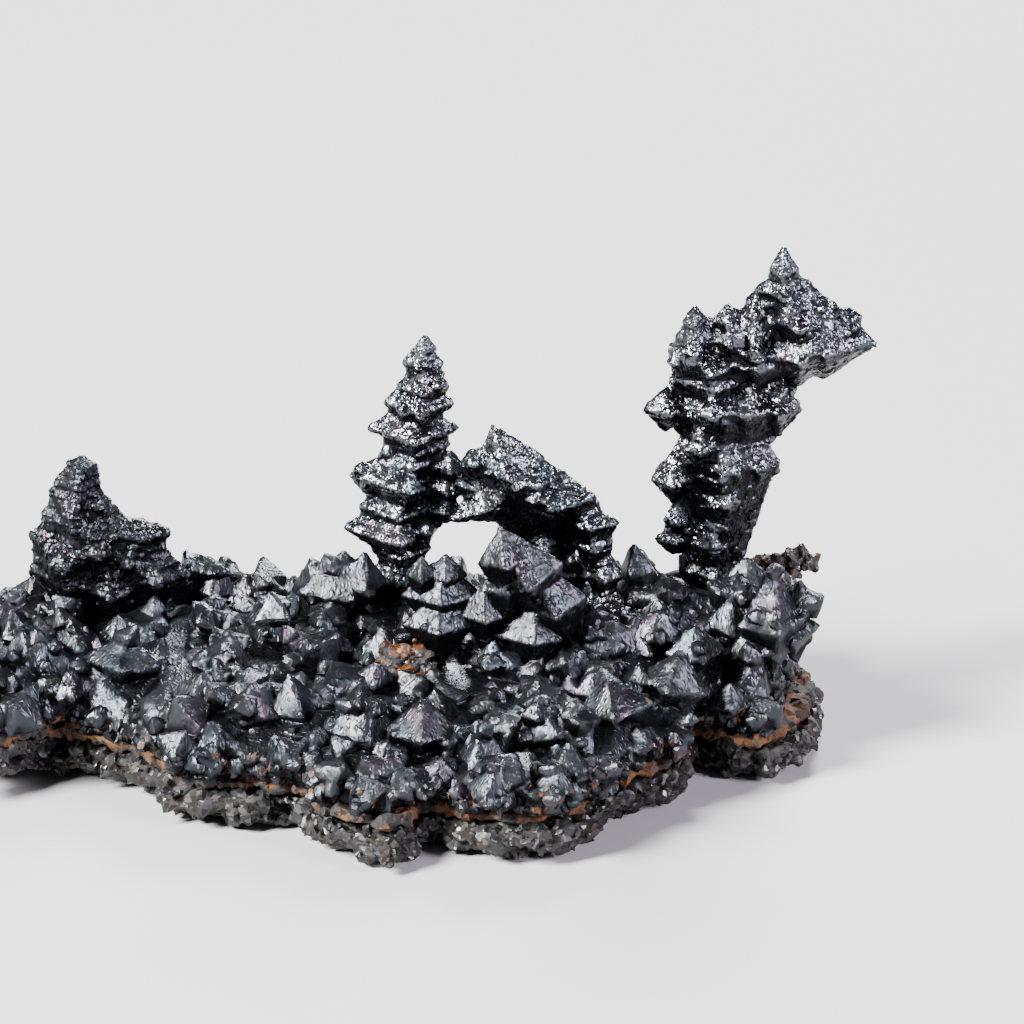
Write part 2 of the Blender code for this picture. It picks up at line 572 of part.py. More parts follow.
def lumps(root, path, size, seed):
    """A knotty string of crumbs along this path."""
    rng = random.Random(seed)
    return [Crystal(at, *uneven(rng, size), **tilted(rng, 40)).moved(root) for at in path]


# The rusty spur runs out along the back of the right end and hooks down to the crust
SPUR = [
    (-1.8, 0.1, 0.2), (-1.0, 0.1, 0.45), (-0.2, 0, 0.6), (0.6, 0, 0.9), (1.3, 0, 0.9), (1.9, -0.1, 0.5),
    (0.7, 0.1, -0.1), (0.6, 0.1, -1.0),
]
# A patch of bare white gangue with rust in it, low in the crust
PATCH = [
    (-1.2, 0.1, 0.1), (-0.4, 0, 0.2), (0.5, 0, 0.1), (1.2, 0.2, 0.3), (-0.8, 0.6, 1.0), (0.1, 0.6, 1.1),
    (0.9, 0.7, 1.1), (-0.2, -0.6, -0.8), (0.8, -0.5, -0.7),
]


# ---- The specimen ----------------------------------------------------------------------------------

for old in list(bpy.data.objects):
    bpy.data.objects.remove(old)

specimen = bpy.data.objects.new("acanthite_specimen", None)
bpy.context.scene.collection.objects.link(specimen)

acanthite = finish_material("acanthite", (0.13, 0.14, 0.155), roughness=0.34, metallic=1.0)
matrix_rock = finish_material("matrix_rock", (0.23, 0.225, 0.22), roughness=0.55, metallic=0.0)
limonite = finish_material("limonite", (0.42, 0.17, 0.045), roughness=0.85, metallic=0.0)
gangue = finish_material("gangue", (0.52, 0.42, 0.34), roughness=0.6, metallic=0.0)

GROWTHS = {
    "hammer_spire": (grown_from(HAMMER_ROOT, HAMMER), HAMMER_ROOT, acanthite),
    "fir_spire": (grown_from(FIR_ROOT, FIR), FIR_ROOT, acanthite),
    "arch_spire": (grown_from(ARCH_ROOT, ARCH), ARCH_ROOT, acanthite),
    "left_pyramid": (grown_from(PYRAMID_ROOT, PYRAMID), PYRAMID_ROOT, acanthite),
    "front_block": (grown_from(BLOCK_ROOT, BLOCK), BLOCK_ROOT, acanthite),
    "rusty_spur": (lumps(SPUR_ROOT, SPUR, size=0.75, seed=31), SPUR_ROOT, limonite),
    "gangue_patch": (lumps(PATCH_ROOT, PATCH, size=0.95, seed=14), PATCH_ROOT, gangue),
}

finish(matrix_plate(), "matrix_plate", matrix_rock)
finish(limonite_seam(), "limonite_seam", limonite)
finish(crystal_crust([crystals for crystals, _, _ in GROWTHS.values()]), "crystal_crust", acanthite)
for node, (crystals, root, material) in GROWTHS.items():
    finish(fused(crystals), node, material, root)
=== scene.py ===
"""The finish of the acanthite specimen: its rock, its rust and its dark, stepped crystals."""

import itertools
import math

import bpy
import numpy as np
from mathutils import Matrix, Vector


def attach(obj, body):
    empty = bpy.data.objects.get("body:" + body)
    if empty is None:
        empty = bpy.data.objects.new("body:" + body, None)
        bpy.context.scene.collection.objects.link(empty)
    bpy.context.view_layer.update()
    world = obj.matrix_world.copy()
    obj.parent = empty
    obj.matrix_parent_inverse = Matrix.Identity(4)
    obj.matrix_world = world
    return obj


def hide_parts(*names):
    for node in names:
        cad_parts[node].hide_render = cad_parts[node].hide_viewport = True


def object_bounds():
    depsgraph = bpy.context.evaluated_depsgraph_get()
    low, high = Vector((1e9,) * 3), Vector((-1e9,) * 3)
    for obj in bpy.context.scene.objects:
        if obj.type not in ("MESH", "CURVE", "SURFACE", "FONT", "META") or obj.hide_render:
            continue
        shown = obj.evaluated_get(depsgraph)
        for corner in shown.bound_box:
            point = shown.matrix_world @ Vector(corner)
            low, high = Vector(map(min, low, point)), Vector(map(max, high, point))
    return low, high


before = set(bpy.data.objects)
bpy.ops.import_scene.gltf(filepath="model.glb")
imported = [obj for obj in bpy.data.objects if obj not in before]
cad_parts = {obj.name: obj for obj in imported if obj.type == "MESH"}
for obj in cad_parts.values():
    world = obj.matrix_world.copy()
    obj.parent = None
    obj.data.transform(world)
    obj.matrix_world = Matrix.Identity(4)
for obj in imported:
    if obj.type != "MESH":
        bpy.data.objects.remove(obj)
cad_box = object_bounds()


# ---- The matrix plate -------------------------------------------------------------------------------
#
# A broken sheet of fine-grained grey vein rock. Its rim is a sugary fracture of small, half-clear
# grains with brown films between them, and everything else has grown on top of it.

MM = 0.001
CRISP = math.radians(28)  # edges that turn by more than this are left sharp


def copy_of(solid, name):
    """The part's own solid as a new piece, to be worked on."""
    piece = bpy.data.objects.new(name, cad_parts[solid].data.copy())
    piece.data.materials.clear()
    bpy.context.scene.collection.objects.link(piece)
    return piece


def applied(piece):
    """Makes the piece's modifiers part of its mesh."""
    graph = bpy.context.evaluated_depsgraph_get()
    piece.data = bpy.data.meshes.new_from_object(piece.evaluated_get(graph))
    piece.modifiers.clear()


def made_fine(piece, voxel, softening):
    """Gives the piece a fine, even mesh, and takes the knife edge off its corners."""
    remesh = piece.modifiers.new("fine mesh", "REMESH")
    remesh.mode = "VOXEL"
    remesh.voxel_size = voxel * MM
    smooth = piece.modifiers.new("worn corners", "SMOOTH")
    smooth.iterations = softening
    applied(piece)


def surface_of(piece):
    """The piece's points and the way out at each, in millimetres."""
    data = piece.data
    points = np.empty(3 * len(data.vertices))
    normals = np.empty(3 * len(data.vertices))
    data.vertices.foreach_get("co", points)
    data.vertex_normals.foreach_get("vector", normals)
    return points.reshape(-1, 3) / MM, normals.reshape(-1, 3)


def put_points(piece, points):
    """Moves the piece's points to these places, but never out of the specimen's own size."""
    low, high = (np.array(corner) for corner in cad_box)
    piece.data.vertices.foreach_set("co", np.clip(points * MM, low, high).ravel())
    piece.data.shade_smooth()
    piece.data.set_sharp_from_angle(angle=CRISP)
    piece.data.update()


def thinned(piece, share):
    """Keeps this share of the piece's faces, the most where it bends and the fewest where it is flat."""
    thin = piece.modifiers.new("fewer faces", "DECIMATE")
    thin.ratio = share
    applied(piece)
    points, _ = surface_of(piece)
    put_points(piece, points)


def mark_painted_shade(piece, rounds, depth, underside_shade=0.0):
    """Stores where painted shade goes: how far each point lies sunk below what is round it, 1 at this depth
    and -1 on a crest.

    A face that looks straight down counts as sunk by the underside's share, so that it gets painted shade
    as well.
    """
    points, out = surface_of(piece)
    edges = np.empty(2 * len(piece.data.edges), int)
    piece.data.edges.foreach_get("vertices", edges)
    near, far = edges.reshape(-1, 2).T
    count = len(points)
    neighbours = np.bincount(near, minlength=count) + np.bincount(far, minlength=count)
    level = points.copy()
    for _ in range(rounds):
        sums = [
            np.bincount(near, axis[far], count) + np.bincount(far, axis[near], count) for axis in level.T
        ]
        level = np.array(sums).T / neighbours[:, None]
    shaded = ((level - points) * out).sum(axis=1) / depth
    # the underside's painted shade starts on the steep faces, and is full where a face looks well down
    shaded += underside_shade * np.clip((0.5 - out[:, 2]) / 0.9, 0, 1)
    store = piece.data.attributes.new("hollow", "FLOAT", "POINT")
    store.data.foreach_set("value", np.clip(shaded, -1, 1))


GRAIN_TABLE = 4096  # so many different grains, before they come again
CELL_HASH = np.array((733, 1597, 2971))  # spreads neighbouring cells over that table


def grains(points, size, seed):
    """For each point, a direction that its whole grain shares, and the way to it from the centre."""
    rng = np.random.default_rng(seed)
    places = rng.random((GRAIN_TABLE, 3))
    directions = rng.normal(size=(GRAIN_TABLE, 3))
    directions /= np.linalg.norm(directions, axis=1)[:, None]
    home = np.floor(points / size).astype(int)
    nearest = np.full(len(points), np.inf)
    shared = np.zeros_like(points)
    away = np.zeros_like(points)
    for step in itertools.product((-1, 0, 1), repeat=3):
        cell = home + np.array(step)
        key = (cell @ CELL_HASH) % GRAIN_TABLE
        gap = points / size - cell - places[key]
        distance = (gap**2).sum(axis=1)
        closer = distance < nearest
        nearest[closer] = distance[closer]
        shared[closer] = directions[key[closer]]
        away[closer] = gap[closer]
    return shared, away


def broken(points, size, depth, seed):
    """The height of a surface that has broken into flat, tilted grains of this size."""
    shared, away = grains(points, size, seed)
    return depth * (shared * away).sum(axis=1)


ROUND_LEVEL = 0.35  # the part of a round grain's height that lies above the surface's own level


def rounded(points, size, depth, seed):
    """The height of a surface that is packed with round grains of this size."""
    _, away = grains(points, size, seed)
    return depth * (ROUND_LEVEL - (away**2).sum(axis=1))


def node(tree, kind, inputs=None, **settings):
    """A new shader node. An input is given as a value, or as another node's output to link it to."""
    made = tree.nodes.new(kind)
    for setting, value in settings.items():
        setattr(made, setting, value)
    for socket, value in (inputs or {}).items():
        if isinstance(value, bpy.types.NodeSocket):
            tree.links.new(value, made.inputs[socket])
        else:
            made.inputs[socket].default_value = value
    return made


def new_group(name, inputs, outputs):
    """An empty shader node group, with its input and output nodes."""
    tree = bpy.data.node_groups.new(name, "ShaderNodeTree")
    for label, value in inputs.items():
        kind = "NodeSocketFloat"
        if isinstance(value, tuple):
            kind = "NodeSocketColor" if len(value) == 4 else "NodeSocketVector"
        tree.interface.new_socket(label, in_out="INPUT", socket_type=kind).default_value = value
    for label, kind in outputs.items():
        tree.interface.new_socket(label, in_out="OUTPUT", socket_type=kind)
    return tree, node(tree, "NodeGroupInput"), node(tree, "NodeGroupOutput")


def in_millimetres(tree):
    """The place on the object, counted in millimetres."""
    place = node(tree, "ShaderNodeTexCoord")
    return node(
        tree, "ShaderNodeVectorMath", {0: place.outputs["Object"], 1: (1 / MM,) * 3}, operation="MULTIPLY"
    ).outputs[0]


def make_facets_group():
    """Small broken facets: each tilts the surface its own way, and has its own tone from 0 to 1."""
    tree, given, out = new_group(
        "broken_facets",
        {"Grain": 0.3, "Tilt": 0.5, "Warp": 0.3},
        {"Normal": "NodeSocketVector", "Tone": "NodeSocketFloat"},
    )
    place = in_millimetres(tree)
    count = node(tree, "ShaderNodeMath", {0: 1.0, 1: given.outputs["Grain"]}, operation="DIVIDE")
    scaled = node(
        tree, "ShaderNodeVectorMath", {0: place, "Scale": count.outputs[0]}, operation="SCALE"
    )
    swirl = node(tree, "ShaderNodeTexNoise", {"Vector": scaled.outputs[0], "Scale": 0.8, "Detail": 2.0})
    centred = node(
        tree, "ShaderNodeVectorMath", {0: swirl.outputs["Color"], 1: (0.5,) * 3}, operation="SUBTRACT"
    )
    shift = node(
        tree, "ShaderNodeVectorMath", {0: centred.outputs[0], "Scale": given.outputs["Warp"]},
        operation="SCALE",
    )
    warped = node(
        tree, "ShaderNodeVectorMath", {0: scaled.outputs[0], 1: shift.outputs[0]}, operation="ADD"
    )
    cells = node(tree, "ShaderNodeTexVoronoi", {"Vector": warped.outputs[0], "Scale": 1.0})
    random_way = node(
        tree, "ShaderNodeVectorMath", {0: cells.outputs["Color"], 1: (0.5,) * 3}, operation="SUBTRACT"
    )
    tilt = node(
        tree, "ShaderNodeVectorMath", {0: random_way.outputs[0], "Scale": given.outputs["Tilt"]},
        operation="SCALE",
    )
    surface = node(tree, "ShaderNodeNewGeometry")
    tilted = node(
        tree, "ShaderNodeVectorMath", {0: surface.outputs["Normal"], 1: tilt.outputs[0]}, operation="ADD"
    )
    normal = node(tree, "ShaderNodeVectorMath", {0: tilted.outputs[0]}, operation="NORMALIZE")
    tone = node(tree, "ShaderNodeSeparateColor", {0: cells.outputs["Color"]})
    tree.links.new(normal.outputs[0], out.inputs["Normal"])
    tree.links.new(tone.outputs[0], out.inputs["Tone"])
    return tree


def make_stain_group():
    """Where rust has soaked in: 1 in its patches and 0 elsewhere, more of it low down if asked."""
    tree, given, out = new_group(
        "rust_stain",
        {"Patch": 2.0, "Cover": 0.4, "Edge": 0.08, "Level": 6.0, "Low Only": 0.0},
        {"Mask": "NodeSocketFloat"},
    )
    place = in_millimetres(tree)
    count = node(tree, "ShaderNodeMath", {0: 1.0, 1: given.outputs["Patch"]}, operation="DIVIDE")
    noise = node(
        tree, "ShaderNodeTexNoise",
        {"Vector": place, "Scale": count.outputs[0], "Detail": 5.0, "Roughness": 0.65},
    )
    height = node(tree, "ShaderNodeSeparateXYZ", {0: place})
    above = node(
        tree, "ShaderNodeMath", {0: height.outputs["Z"], 1: given.outputs["Level"]},
        operation="SUBTRACT", use_clamp=True,
    )
    spared = node(
        tree, "ShaderNodeMath", {0: above.outputs[0], 1: given.outputs["Low Only"]}, operation="MULTIPLY"
    )
    dirt = node(
        tree, "ShaderNodeMath", {0: noise.outputs[0], 1: spared.outputs[0]}, operation="SUBTRACT"
    )
    start = node(tree, "ShaderNodeMath", {0: 0.75, 1: given.outputs["Cover"]}, operation="SUBTRACT")
    end = node(tree, "ShaderNodeMath", {0: start.outputs[0], 1: given.outputs["Edge"]}, operation="ADD")
    mask = node(
        tree, "ShaderNodeMapRange",
        {"Value": dirt.outputs[0], "From Min": start.outputs[0], "From Max": end.outputs[0]},
    )
    tree.links.new(mask.outputs[0], out.inputs["Mask"])
    return tree


FACETS = make_facets_group()
STAIN = make_stain_group()


def painted_shade_share(tree, shallow, deep):
    """The share of painted shade: 0 where the surface is open, and 1 where it has sunk into a hollow or, if
    asked, looks down.
    """
    stored = node(tree, "ShaderNodeAttribute", attribute_name="hollow")
    share = node(
        tree, "ShaderNodeMapRange", {"Value": stored.outputs["Fac"], "From Min": shallow, "From Max": deep}
    )
    return share.outputs[0]


def new_material(name):
    """A material with only its Principled shader, and the tree that holds it."""
    material = bpy.data.materials.new(name)
    material.use_nodes = True
    return material, material.node_tree, material.node_tree.nodes["Principled BSDF"]


def group_node(tree, group, inputs):
    return node(tree, "ShaderNodeGroup", inputs, node_tree=group)


def blended(tree, share, first, second):
    """One colour where the share is 0, and the other where it is 1."""
    mix = node(tree, "ShaderNodeMix", data_type="RGBA")
    for socket, value in zip((mix.inputs[0], mix.inputs[6], mix.inputs[7]), (share, first, second)):
        if isinstance(value, bpy.types.NodeSocket):
            tree.links.new(value, socket)
        else:
            socket.default_value = value
    return mix.outputs[2]


def toned(tree, value, stops):
    """A colour ramp over this value, from stops of (place, colour)."""
    ramp = node(tree, "ShaderNodeValToRGB", {0: value})
    marks = ramp.color_ramp.elements
    marks[0].position, marks[0].color = stops[0]
    marks[1].position, marks[1].color = stops[-1]
    for place, colour in stops[1:-1]:
        marks.new(place).color = colour
    return ramp.outputs[0]


def grainy_rock(name, light, dark, film, film_cover, film_edge):
    """Sugary rock: half-clear grains of several greys, some of which flash, with brown films, and painted
    shade in its hollows.
    """
    material, tree, shader = new_material(name)
    facets = group_node(tree, FACETS, {"Grain": 0.34, "Tilt": 0.9, "Warp": 0.5})
    stain = group_node(tree, STAIN, {"Patch": 1.4, "Cover": film_cover, "Edge": film_edge})
    rock = toned(tree, facets.outputs["Tone"], [(0.0, dark), (0.75, light), (1.0, light)])
    stained = blended(tree, stain.outputs["Mask"], rock, film)
    # painted shade: the hollows are darkened to a quarter of the darkest grey
    shade = tuple(0.25 * c for c in dark[:3]) + (1,)
    tree.links.new(
        blended(tree, painted_shade_share(tree, 0.1, 0.9), stained, shade), shader.inputs["Base Color"]
    )
    gloss = node(
        tree, "ShaderNodeMapRange", {"Value": facets.outputs["Tone"], "To Min": 0.8, "To Max": 0.25}
    )
    tree.links.new(gloss.outputs[0], shader.inputs["Roughness"])
    tree.links.new(facets.outputs["Normal"], shader.inputs["Normal"])
    shader.inputs["Specular IOR Level"].default_value = 0.4
    return material


FLAT_FOOT = 0.5  # millimetres above the ground at which the plate has its full roughness

plate = copy_of("matrix_plate", "matrix_plate_rock")
made_fine(plate, voxel=0.2, softening=1)
points, out = surface_of(plate)
# the underside is flat, and only the rest of the plate is rough
rough = np.clip(points[:, 2] / FLAT_FOOT, 0, 1)
relief = rounded(points, 1.9, 0.6, seed=1) + broken(points, 1.3, 0.5, seed=3)
relief += broken(points, 0.55, 0.22, seed=2)
put_points(plate, points + out * (rough * relief)[:, None])
thinned(plate, 0.5)
mark_painted_shade(plate, rounds=10, depth=0.3)
plate.data.materials.append(
    grainy_rock(
        "sugary_matrix", light=(0.0085, 0.0085, 0.009, 1), dark=(0.003, 0.003, 0.0034, 1),
        film=(0.011, 0.0064, 0.0032, 1), film_cover=0.25, film_edge=0.16,
    )
)
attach(plate, "root")
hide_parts("matrix_plate")


# ---- The limonite seam ------------------------------------------------------------------------------
#
# A thin earthy layer of rust between the rock and the crystals. It crumbles along the rim, bright
# orange where it is fresh and dark brown where it is old, with dark sulphide crumbs caught in it.

SEAM_SWELL = 0.04  # fills the hairline between the layers


def earthy_rust(name, fresh, old, crumb_and_shade):
    """Dull, powdery iron oxide of two ages, with dark crumbs of sulphide in it, and the crumbs' colour
    painted into its hollows as painted shade.
    """
    material, tree, shader = new_material(name)
    facets = group_node(tree, FACETS, {"Grain": 0.22, "Tilt": 0.6, "Warp": 0.8})
    aged = group_node(tree, STAIN, {"Patch": 1.1, "Cover": 0.28, "Edge": 0.14})
    caught = group_node(tree, STAIN, {"Patch": 1.6, "Cover": 0.26, "Edge": 0.04})
    grain = toned(
        tree, facets.outputs["Tone"], [(0.0, tuple(0.55 * c for c in fresh[:3]) + (1,)), (1.0, fresh)]
    )
    rust = blended(tree, aged.outputs["Mask"], grain, old)
    crumbs = blended(tree, caught.outputs["Mask"], rust, crumb_and_shade)
    # painted shade: the hollows take the dark crumb colour
    tree.links.new(
        blended(tree, painted_shade_share(tree, 0.0, 0.8), crumbs, crumb_and_shade), shader.inputs["Base Color"]
    )
    tree.links.new(facets.outputs["Normal"], shader.inputs["Normal"])
    shader.inputs["Roughness"].default_value = 0.85
    return material


seam = copy_of("limonite_seam", "limonite_seam_rust")
made_fine(seam, voxel=0.2, softening=1)
points, out = surface_of(seam)
relief = SEAM_SWELL + rounded(points, 1.4, 0.7, seed=11) + broken(points, 0.6, 0.3, seed=12)
put_points(seam, points + out * relief[:, None])
thinned(seam, 0.5)
mark_painted_shade(seam, rounds=8, depth=0.25)
seam.data.materials.append(
    earthy_rust(
        "limonite_rust", fresh=(0.09, 0.03, 0.0018, 1), old=(0.018, 0.006, 0.003, 1),
        crumb_and_shade=(0.005, 0.0048, 0.0048, 1),
    )
)
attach(seam, "root")
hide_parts("limonite_seam")


# ---- The crystal crust ------------------------------------------------------------------------------
#
# Acanthite crystals of up to 4 mm, grown into and over each other, so that the crust is one body.
# Their faces are etched and hackly, and the gaps between the large ones are full of small ones.

OCTAHEDRON = (
    np.array([(-1, 0, 0), (1, 0, 0), (0, -1, 0), (0, 1, 0), (0, 0, 1), (0, 0, -1)]),
    np.array([(2, 1, 4), (1, 3, 4), (3, 0, 4), (0, 2, 4), (1, 2, 5), (3, 1, 5), (0, 3, 5), (2, 0, 5)]),
)


def turned_at_random(count, rng, most):
    """That many rotation matrices, each by up to this angle about a random axis."""
    axis = rng.normal(size=(count, 3))
    axis /= np.linalg.norm(axis, axis=1)[:, None]
    angle = rng.uniform(0, most, count)
    x, y, z = axis.T
    zero = np.zeros(count)
    cross = np.array([(zero, -z, y), (z, zero, -x), (-y, x, zero)]).transpose(2, 0, 1)
    sine, cosine = np.sin(angle)[:, None, None], np.cos(angle)[:, None, None]
    return np.eye(3) + sine * cross + (1 - cosine) * (cross @ cross)


def set_crystals(piece, count, smallest, largest, seed, most_turn, wanted):
    """Sets small octahedra into the piece's surface, and fewer of them where wanted is low."""
    rng = np.random.default_rng(seed)
    data = piece.data
    points, _ = surface_of(piece)
    data.calc_loop_triangles()
    sides = np.empty(3 * len(data.loop_triangles), int)
    data.loop_triangles.foreach_get("vertices", sides)
    sides = sides.reshape(-1, 3)
    a, b, c = (points[sides[:, i]] for i in range(3))
    across = np.cross(b - a, c - a)
    area = np.linalg.norm(across, axis=1)
    # more places than are needed, as some aren't wanted
    tried = rng.choice(len(sides), 6 * count, p=area / area.sum())
    share = rng.dirichlet((1, 1, 1), len(tried))
    at = (points[sides[tried]] * share[:, :, None]).sum(axis=1)
    way = across[tried] / area[tried][:, None]
    chosen = np.flatnonzero(rng.random(len(tried)) < wanted(at, way))[:count]
    # most are near the smallest size, each is sunk or raised a little, and no two are quite alike
    size = smallest * (largest / smallest) ** (rng.random(len(chosen)) ** 1.6)
    middle = at[chosen] + way[chosen] * (size * rng.uniform(-0.3, 0.2, len(chosen)))[:, None]
    shape, shape_sides = OCTAHEDRON
    reach = size[:, None, None] * rng.uniform(0.7, 1.3, (len(chosen), len(shape), 1)) * shape
    turned = turned_at_random(len(chosen), rng, most_turn).transpose(0, 2, 1)
    corners = middle[:, None, :] + reach @ turned
    faces = shape_sides + len(points) + len(shape) * np.arange(len(chosen))[:, None, None]
    joined = bpy.data.meshes.new(data.name)
    joined.from_pydata(
        np.vstack((points, corners.reshape(-1, 3))) * MM, [], np.vstack((sides, faces.reshape(-1, 3)))
    )
    piece.data = joined


def make_tarnish_group():
    """The slow change of a tarnished metal's colour between three tints."""
    tree, given, out = new_group(
        "tarnish",
        {
            "Patch": 2.2, "Steel": (0.07, 0.072, 0.076, 1), "Blue": (0.056, 0.064, 0.072, 1),
            "Violet": (0.073, 0.063, 0.077, 1), "Shine": 0.28,
        },
        {"Color": "NodeSocketColor", "Roughness": "NodeSocketFloat"},
    )
    place = in_millimetres(tree)
    count = node(tree, "ShaderNodeMath", {0: 1.0, 1: given.outputs["Patch"]}, operation="DIVIDE")
    cloud = node(
        tree, "ShaderNodeTexNoise", {"Vector": place, "Scale": count.outputs[0], "Detail": 4.0}
    )
    parts = node(tree, "ShaderNodeSeparateColor", {0: cloud.outputs["Color"]})
    blue = node(tree, "ShaderNodeMapRange", {"Value": parts.outputs[0], "From Min": 0.42, "From Max": 0.6})
    violet = node(
        tree, "ShaderNodeMapRange", {"Value": parts.outputs[1], "From Min": 0.52, "From Max": 0.66}
    )
    cool = blended(tree, blue.outputs[0], given.outputs["Steel"], given.outputs["Blue"])
    tree.links.new(
        blended(tree, violet.outputs[0], cool, given.outputs["Violet"]), out.inputs["Color"]
    )
    wander = node(
        tree, "ShaderNodeMapRange",
        {"Value": parts.outputs[2], "From Min": 0.3, "From Max": 0.7, "To Min": -0.08, "To Max": 0.12},
    )
    rough = node(tree, "ShaderNodeMath", {0: wander.outputs[0], 1: given.outputs["Shine"]}, operation="ADD")
    tree.links.new(rough.outputs[0], out.inputs["Roughness"])
    return tree


def make_hackle_group():
    """The etched skin of a crystal: short winding ridges, a little longer than they are wide."""
    tree, given, out = new_group(
        "hackle", {"Size": 0.24, "Depth": 0.07, "Normal": (0.0, 0.0, 0.0)}, {"Normal": "NodeSocketVector"}
    )
    along = node(
        tree, "ShaderNodeMapping",
        {"Vector": in_millimetres(tree), "Rotation": (0.4, 0.7, 0.5), "Scale": (1.0, 1.0, 0.38)},
    )
    count = node(tree, "ShaderNodeMath", {0: 1.0, 1: given.outputs["Size"]}, operation="DIVIDE")
    ridges = node(
        tree, "ShaderNodeTexNoise",
        {"Vector": along.outputs[0], "Scale": count.outputs[0], "Detail": 2.5, "Distortion": 0.3},
        noise_type="RIDGED_MULTIFRACTAL",
    )
    depth = node(tree, "ShaderNodeMath", {0: given.outputs["Depth"], 1: MM}, operation="MULTIPLY")
    bump = node(
        tree, "ShaderNodeBump",
        {"Height": ridges.outputs[0], "Distance": depth.outputs[0], "Normal": given.outputs["Normal"]},
    )
    tree.links.new(bump.outputs[0], out.inputs["Normal"])
    return tree


TARNISH = make_tarnish_group()
HACKLE = make_hackle_group()
TINTS = {"Steel": (0.068, 0.073, 0.079), "Blue": (0.053, 0.064, 0.074), "Violet": (0.072, 0.064, 0.08)}


def dark_metal(name, painted_light_level, grain, tilt, etching, shine, rust_cover, rust_low):
    """Acanthite: a dark lead-grey metal with an etched skin, rusty in its hollows, and with painted shade
    that blackens its hollows and the faces that look down.
    """
    material, tree, shader = new_material(name)
    facets = group_node(tree, FACETS, {"Grain": grain, "Tilt": tilt, "Warp": 0.7})
    hackle = group_node(tree, HACKLE, {"Size": etching, "Normal": facets.outputs["Normal"]})
    # painted light: this level scales the metal's colour, so that one copy of the acanthite looks lit and
    # another shaded
    tints = {tint: tuple(painted_light_level * c for c in colour) + (1,) for tint, colour in TINTS.items()}
    tarnish = group_node(tree, TARNISH, {"Shine": shine, **tints})
    stain = group_node(
        tree, STAIN, {"Patch": 1.1, "Cover": rust_cover, "Edge": 0.06, "Level": 4.6, "Low Only": rust_low}
    )
    rusted = stain.outputs["Mask"]
    rust = toned(
        tree, facets.outputs["Tone"], [(0.0, (0.03, 0.011, 0.005, 1)), (1.0, (0.12, 0.038, 0.005, 1))]
    )
    # painted shade: hollows and faces that look down are blended towards near-black
    shaded = blended(
        tree, painted_shade_share(tree, 0.05, 0.5), tarnish.outputs["Color"], (0.008, 0.008, 0.01, 1)
    )
    tree.links.new(blended(tree, rusted, shaded, rust), shader.inputs["Base Color"])
    metal = node(tree, "ShaderNodeMath", {0: 1.0, 1: rusted}, operation="SUBTRACT")
    tree.links.new(metal.outputs[0], shader.inputs["Metallic"])
    rough = node(
        tree, "ShaderNodeMath", {0: rusted, 1: 0.5, 2: tarnish.outputs["Roughness"]},
        operation="MULTIPLY_ADD",
    )
    tree.links.new(rough.outputs[0], shader.inputs["Roughness"])
    tree.links.new(hackle.outputs["Normal"], shader.inputs["Normal"])
    return material


def in_nests(at, size, seed):
    """Small crystals keep together: 1 in their nests, and 0 on the clean faces between them."""
    shared, _ = grains(at, size, seed)
    return np.clip(0.5 + 2 * shared[:, 0], 0, 1)


WALL_TOP = 4.4  # above this height lies the crust's top, and below it the wall round it
SEAM_TOP = 3.6  # the smallest crystals stay above this height, clear of the seam
RIM_TOP = 5.2  # the broken rim ends at this height
SMOOTHING_LOSS = 0.1  # how far a fine mesh has drawn in from its solid

crust = copy_of("crystal_crust", "crystal_crust_metal")
# crystals of middle size fill the level places between the large ones
set_crystals(
    crust, 360, 0.9, 1.6, seed=23, most_turn=math.pi,
    wanted=lambda at, way: (at[:, 2] > WALL_TOP) * np.clip(4 * way[:, 2] - 2.4, 0.06, 1),
)
# the smallest keep together in nests, and off the faces that look down
set_crystals(
    crust, 1100, 0.35, 0.8, seed=24, most_turn=math.pi,
    wanted=lambda at, way: (at[:, 2] > SEAM_TOP) * np.clip(way[:, 2] + 1, 0, 1) * in_nests(at, 3.5, 26),
)
made_fine(crust, voxel=0.135, softening=1)
points, out = surface_of(crust)
# the rim is a tumble of broken crystals
rim = np.clip(RIM_TOP - points[:, 2], 0, 1)
relief = rim * (broken(points, 1.1, 0.45, seed=27) + rounded(points, 0.8, 0.35, seed=28))
put_points(crust, points + out * relief[:, None])
thinned(crust, 0.29)
# low facets on every face, and what the smoothing took is given back
points, out = surface_of(crust)
relief = broken(points, 1.1, 0.07, seed=21) + broken(points, 0.5, 0.04, seed=22) + SMOOTHING_LOSS
put_points(crust, points + out * relief[:, None])
mark_painted_shade(crust, rounds=14, depth=0.45, underside_shade=1.0)
# painted shade: the crust's acanthite is a darker copy of the spires' metal
CRUST_METAL = dark_metal(
    "crust_acanthite", painted_light_level=0.57, grain=0.7, tilt=0.17, etching=0.24, shine=0.4,
    rust_cover=0.17, rust_low=0.12,
)
crust.data.materials.append(CRUST_METAL)
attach(crust, "root")
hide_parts("crystal_crust")


# ---- The spires and the standing crystals -----------------------------------------------------------
#
# Acanthite that has grown up in stacks of parallel crystals. Level growth steps run round every
# tier, the faces between them are hackly, and small crystals stand on the tiers the same way round.

def notches_filled(piece, reach, voxel):
    """Fills each notch that is too narrow for a ball of this radius, and leaves the crests."""
    for way in (reach, -reach):
        points, out = surface_of(piece)
        piece.data.vertices.foreach_set("co", ((points + way * out) * MM).ravel())
        piece.data.update()
        made_fine(piece, voxel, softening=1)


def terraced(points, step, depth, seed):
    """The height of growth steps, which run level round a crystal and wander a little."""
    shared, _ = grains(points, 2.4, seed)
    level = points[:, 2] / step + 0.9 * shared[:, 0] + 0.12 * np.sin(2.1 * points[:, 0])
    return depth * (0.5 - (level - np.floor(level)))
